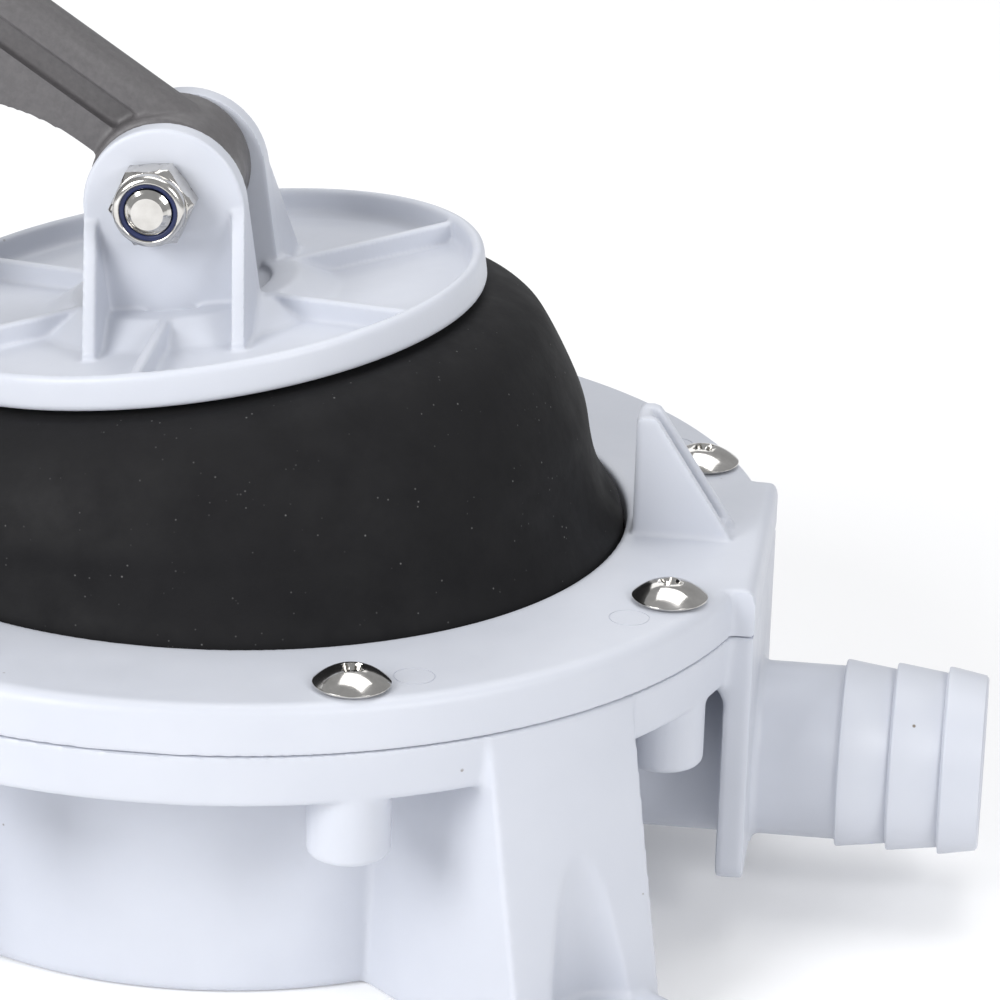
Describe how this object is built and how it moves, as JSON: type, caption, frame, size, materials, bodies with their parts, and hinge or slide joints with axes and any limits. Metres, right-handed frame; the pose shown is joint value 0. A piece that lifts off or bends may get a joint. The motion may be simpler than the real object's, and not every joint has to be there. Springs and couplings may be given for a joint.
{
  "type": "manual bilge pump",
  "caption": "Lever-operated diaphragm pump: round bowl on four legs, bolted clamp ring, tilting ribbed plate, pull handle and two barbed hose tails.",
  "frame": {"origin": "centre of the flat base of the bowl, on the pump's vertical axis", "axes": "-Z points out of the base; +X points out of the outlet hose tail; the lever is on the -X side"},
  "size_m": [0.4085, 0.19, 0.3024],
  "materials": {
    "grey_plastic": "light bluish grey moulded polymer, satin",
    "dark_grey_plastic": "dark warm grey glass-filled nylon, fine texture",
    "black_plastic": "black moulded polymer",
    "diaphragm_rubber": "matte black moulded rubber",
    "grip_rubber": "matte black grip rubber",
    "stainless_steel": "polished stainless steel",
    "blue_nylon": "dark blue nylon",
    "brass": "plain turned brass",
    "aluminium_tube": "satin drawn tube"
  },
  "bodies": {
    "body": {"pump_body": "grey_plastic", "clamp_ring": "grey_plastic", "flange_screw_1": "stainless_steel", "flange_screw_2": "stainless_steel", "flange_screw_3": "stainless_steel", "flange_screw_4": "stainless_steel", "flange_screw_5": "stainless_steel", "flange_screw_6": "stainless_steel", "flange_screw_7": "stainless_steel", "flange_screw_8": "stainless_steel", "fulcrum_bolt": "stainless_steel", "fulcrum_nut": "stainless_steel", "fulcrum_nut_insert": "blue_nylon", "inlet_valve_seat": "black_plastic", "inlet_flap_pin": "stainless_steel", "outlet_valve_seat": "black_plastic", "outlet_flap_pin": "stainless_steel"},
    "lever": {"lever": "dark_grey_plastic", "clevis_bush": "brass", "fulcrum_bush": "brass", "handle_tube": "aluminium_tube", "handle_grip": "grip_rubber", "handle_lock_screw": "stainless_steel"},
    "plate": {"diaphragm_plate": "grey_plastic", "lower_clamp_plate": "black_plastic", "centre_bolt": "stainless_steel", "centre_washer": "stainless_steel", "centre_nut": "stainless_steel", "centre_nut_insert": "blue_nylon", "clevis_bolt": "stainless_steel", "clevis_nut": "stainless_steel", "clevis_nut_insert": "blue_nylon"},
    "diaphragm": {"diaphragm": "diaphragm_rubber"},
    "inlet_flap": {"inlet_valve_flap": "diaphragm_rubber"},
    "outlet_flap": {"outlet_valve_flap": "diaphragm_rubber"}
  },
  "joints": [
    {"name": "lever_swing", "type": "hinge", "parent": "body", "child": "lever", "pos_m": [-0.0845, 0, 0.084], "axis": [0, 1, 0], "range_deg": [0, 36]},
    {"name": "clevis_pivot", "type": "hinge", "parent": "lever", "child": "plate", "pos_m": [-0.0114, 0, 0.1244], "axis": [0, 1, 0], "range_deg": [-26, 0]},
    {"name": "diaphragm_follow", "type": "hinge", "parent": "body", "child": "diaphragm", "pos_m": [-0.294, 0, 0.0435], "axis": [0, 1, 0], "range_deg": [0, 10.1], "deforming": ["diaphragm"]},
    {"name": "inlet_flap_swing", "type": "hinge", "parent": "body", "child": "inlet_flap", "pos_m": [-0.0867, 0, 0.0356], "axis": [0, -1, 0], "range_deg": [0, 45]},
    {"name": "outlet_flap_swing", "type": "hinge", "parent": "body", "child": "outlet_flap", "pos_m": [0.0753, 0, 0.0356], "axis": [0, -1, 0], "range_deg": [0, 45]}
  ],
  "couplings": [
    {"joint": "clevis_pivot", "follows": "lever_swing", "ratio": -0.72},
    {"joint": "diaphragm_follow", "follows": "lever_swing", "ratio": 0.28}
  ]
}
